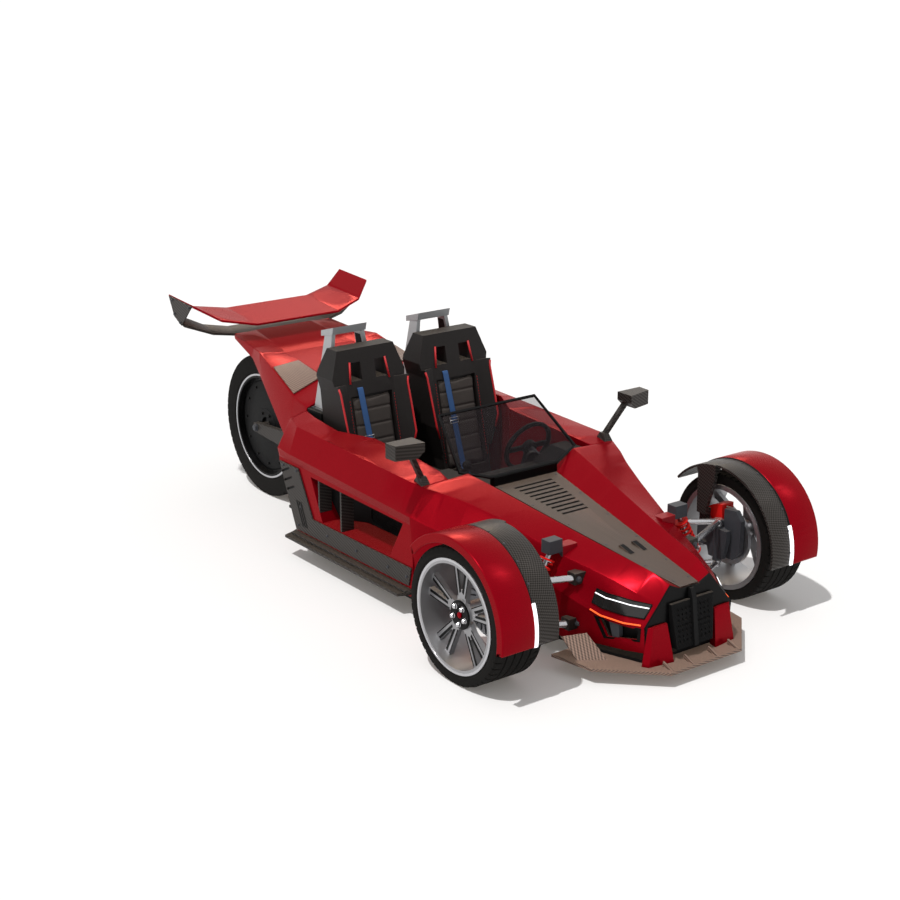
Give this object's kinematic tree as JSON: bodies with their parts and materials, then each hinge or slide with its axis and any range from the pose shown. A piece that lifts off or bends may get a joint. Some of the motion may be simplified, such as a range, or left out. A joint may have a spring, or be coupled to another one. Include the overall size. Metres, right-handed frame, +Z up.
{
  "type": "roadster trike",
  "caption": "Open roadster trike with steered front wheels under turning mudguards, bucket seats, roll hoops, a splitter, side intakes and a high rear wing over one wide driven wheel.",
  "frame": {"origin": "on the ground, under the centre of the vehicle's box", "axes": "+X forward along the length, +Y to the driver's left, +Z up"},
  "size_m": [3.894, 2, 1.208],
  "materials": {
    "red_paint": "gloss paint",
    "carbon": "woven carbon under satin lacquer",
    "black_gloss": "gloss black",
    "black_matte": "matte black",
    "grey_frame": "satin grey",
    "dark_metal": "dark satin metal",
    "silver": "satin silver",
    "steel": "brushed",
    "spring_red": "gloss red",
    "rubber": "black rubber",
    "seat_shell": "dark leather",
    "seat_pad": "ribbed cloth",
    "glass": "tinted",
    "lamp": "smoked lens",
    "engine_metal": "cast"
  },
  "bodies": {
    "chassis": {"nose_shell": "red_paint", "hood_panel": "carbon", "nose_mask": "black_gloss", "front_grille": "black_matte", "floor_pan": "black_matte", "splitter": "carbon", "nose_fangs": "red_paint", "headlamps": "lamp", "side_pod_left": "red_paint", "side_pod_right": "red_paint", "pod_vanes": "carbon", "sill_trims": "carbon", "side_boards": "carbon", "bulkhead": "black_matte", "tail_shell": "red_paint", "engine": "engine_metal", "tail_panels": "carbon", "swingarm": "carbon", "wing_main": "red_paint", "wing_lower": "carbon", "wing_endplates": "carbon", "seat_left": "seat_shell", "seat_right": "seat_shell", "seat_pads": "seat_pad", "roll_hoops": "grey_frame", "dashboard": "black_matte", "windscreen": "glass", "windscreen_frame": "black_gloss", "mirrors": "carbon", "centre_tunnel": "black_matte", "arm_brackets": "dark_metal", "wishbones": "silver", "damper_towers": "dark_metal", "dampers": "steel", "springs": "spring_red", "steering_column": "dark_metal", "rack_housing": "dark_metal"},
    "steering_wheel": {"steering_wheel": "black_matte"},
    "rack": {"tie_rods": "steel"},
    "knuckle_left": {"upright_left": "dark_metal", "caliper_left": "spring_red", "guard_left": "red_paint", "guard_inner_left": "carbon"},
    "front_wheel_left": {"tyre_left": "rubber", "rim_left": "silver", "brake_disc_left": "steel"},
    "knuckle_right": {"upright_right": "dark_metal", "caliper_right": "spring_red", "guard_right": "red_paint", "guard_inner_right": "carbon"},
    "front_wheel_right": {"tyre_right": "rubber", "rim_right": "silver", "brake_disc_right": "steel"},
    "rear_wheel": {"tyre_rear": "rubber", "rim_rear": "black_gloss"}
  },
  "joints": [
    {"name": "steer_left", "type": "hinge", "parent": "chassis", "child": "knuckle_left", "pos_m": [1.313, 0.69, 0.3265], "axis": [0, 0, 1], "range_deg": [-30, 30]},
    {"name": "steer_right", "type": "hinge", "parent": "chassis", "child": "knuckle_right", "pos_m": [1.313, -0.69, 0.3265], "axis": [0, 0, 1], "range_deg": [-30, 30]},
    {"name": "steering_wheel_turn", "type": "hinge", "parent": "chassis", "child": "steering_wheel", "pos_m": [0.31, 0.278, 0.635], "axis": [-0.9397, 0, 0.342], "range_deg": [-315, 315]},
    {"name": "rack_slide", "type": "slide", "parent": "chassis", "child": "rack", "axis": [0, 1, 0], "range_m": [-0.058, 0.058]},
    {"name": "spin_front_left", "type": "hinge", "parent": "knuckle_left", "child": "front_wheel_left", "pos_m": [1.313, 0.843, 0.3265], "axis": [0, 1, 0], "continuous": true},
    {"name": "spin_front_right", "type": "hinge", "parent": "knuckle_right", "child": "front_wheel_right", "pos_m": [1.313, -0.843, 0.3265], "axis": [0, 1, 0], "continuous": true},
    {"name": "spin_rear", "type": "hinge", "parent": "chassis", "child": "rear_wheel", "pos_m": [-1.435, 0, 0.422], "axis": [0, 1, 0], "continuous": true}
  ],
  "couplings": [
    {"joint": "steer_right", "follows": "steer_left", "ratio": 1},
    {"joint": "steering_wheel_turn", "follows": "steer_left", "ratio": 10.5},
    {"joint": "rack_slide", "follows": "steer_left", "m_per_rad": -0.11}
  ]
}
